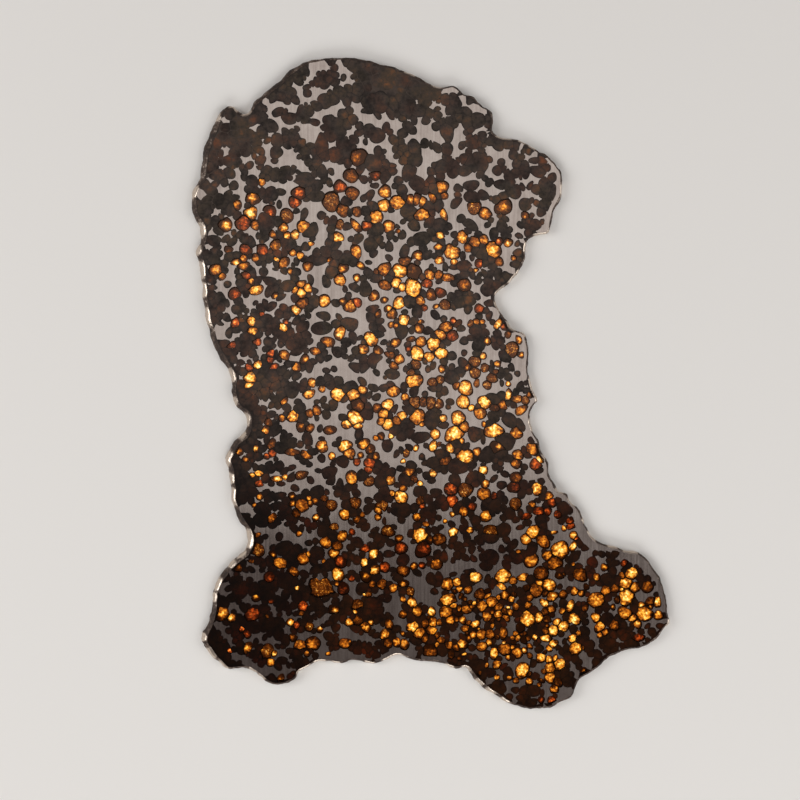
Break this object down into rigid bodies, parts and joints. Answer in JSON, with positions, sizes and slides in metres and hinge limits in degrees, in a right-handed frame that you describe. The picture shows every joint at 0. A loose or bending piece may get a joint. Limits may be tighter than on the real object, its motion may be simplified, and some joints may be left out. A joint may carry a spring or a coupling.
{
  "type": "pallasite meteorite slice",
  "caption": "Thin polished slice of a pallasite meteorite: amber and dark olivine crystals in a nickel-iron web, with a weathered rim.",
  "frame": {"origin": "middle of the bounding box, on the back face that the slice lies on", "axes": "+Z out of the polished front face, +Y towards the domed top end, +X to the right as the front face is read"},
  "size_m": [0.184, 0.2504, 0.0032],
  "materials": {
    "slice": "ground nickel-iron, satin with fine scratches, seen from afar together with its dark crystals",
    "olivine_dark": "clouded dark brown olivine, polished flush, lets almost no light through",
    "olivine_amber": "clear golden to orange olivine, polished flush, glows with light from behind",
    "crust": "weathered iron crust of the rim, rough, dark brown and grey with bright worn spots"
  },
  "bodies": {
    "root": {"slice": "slice"}
  },
  "joints": []
}
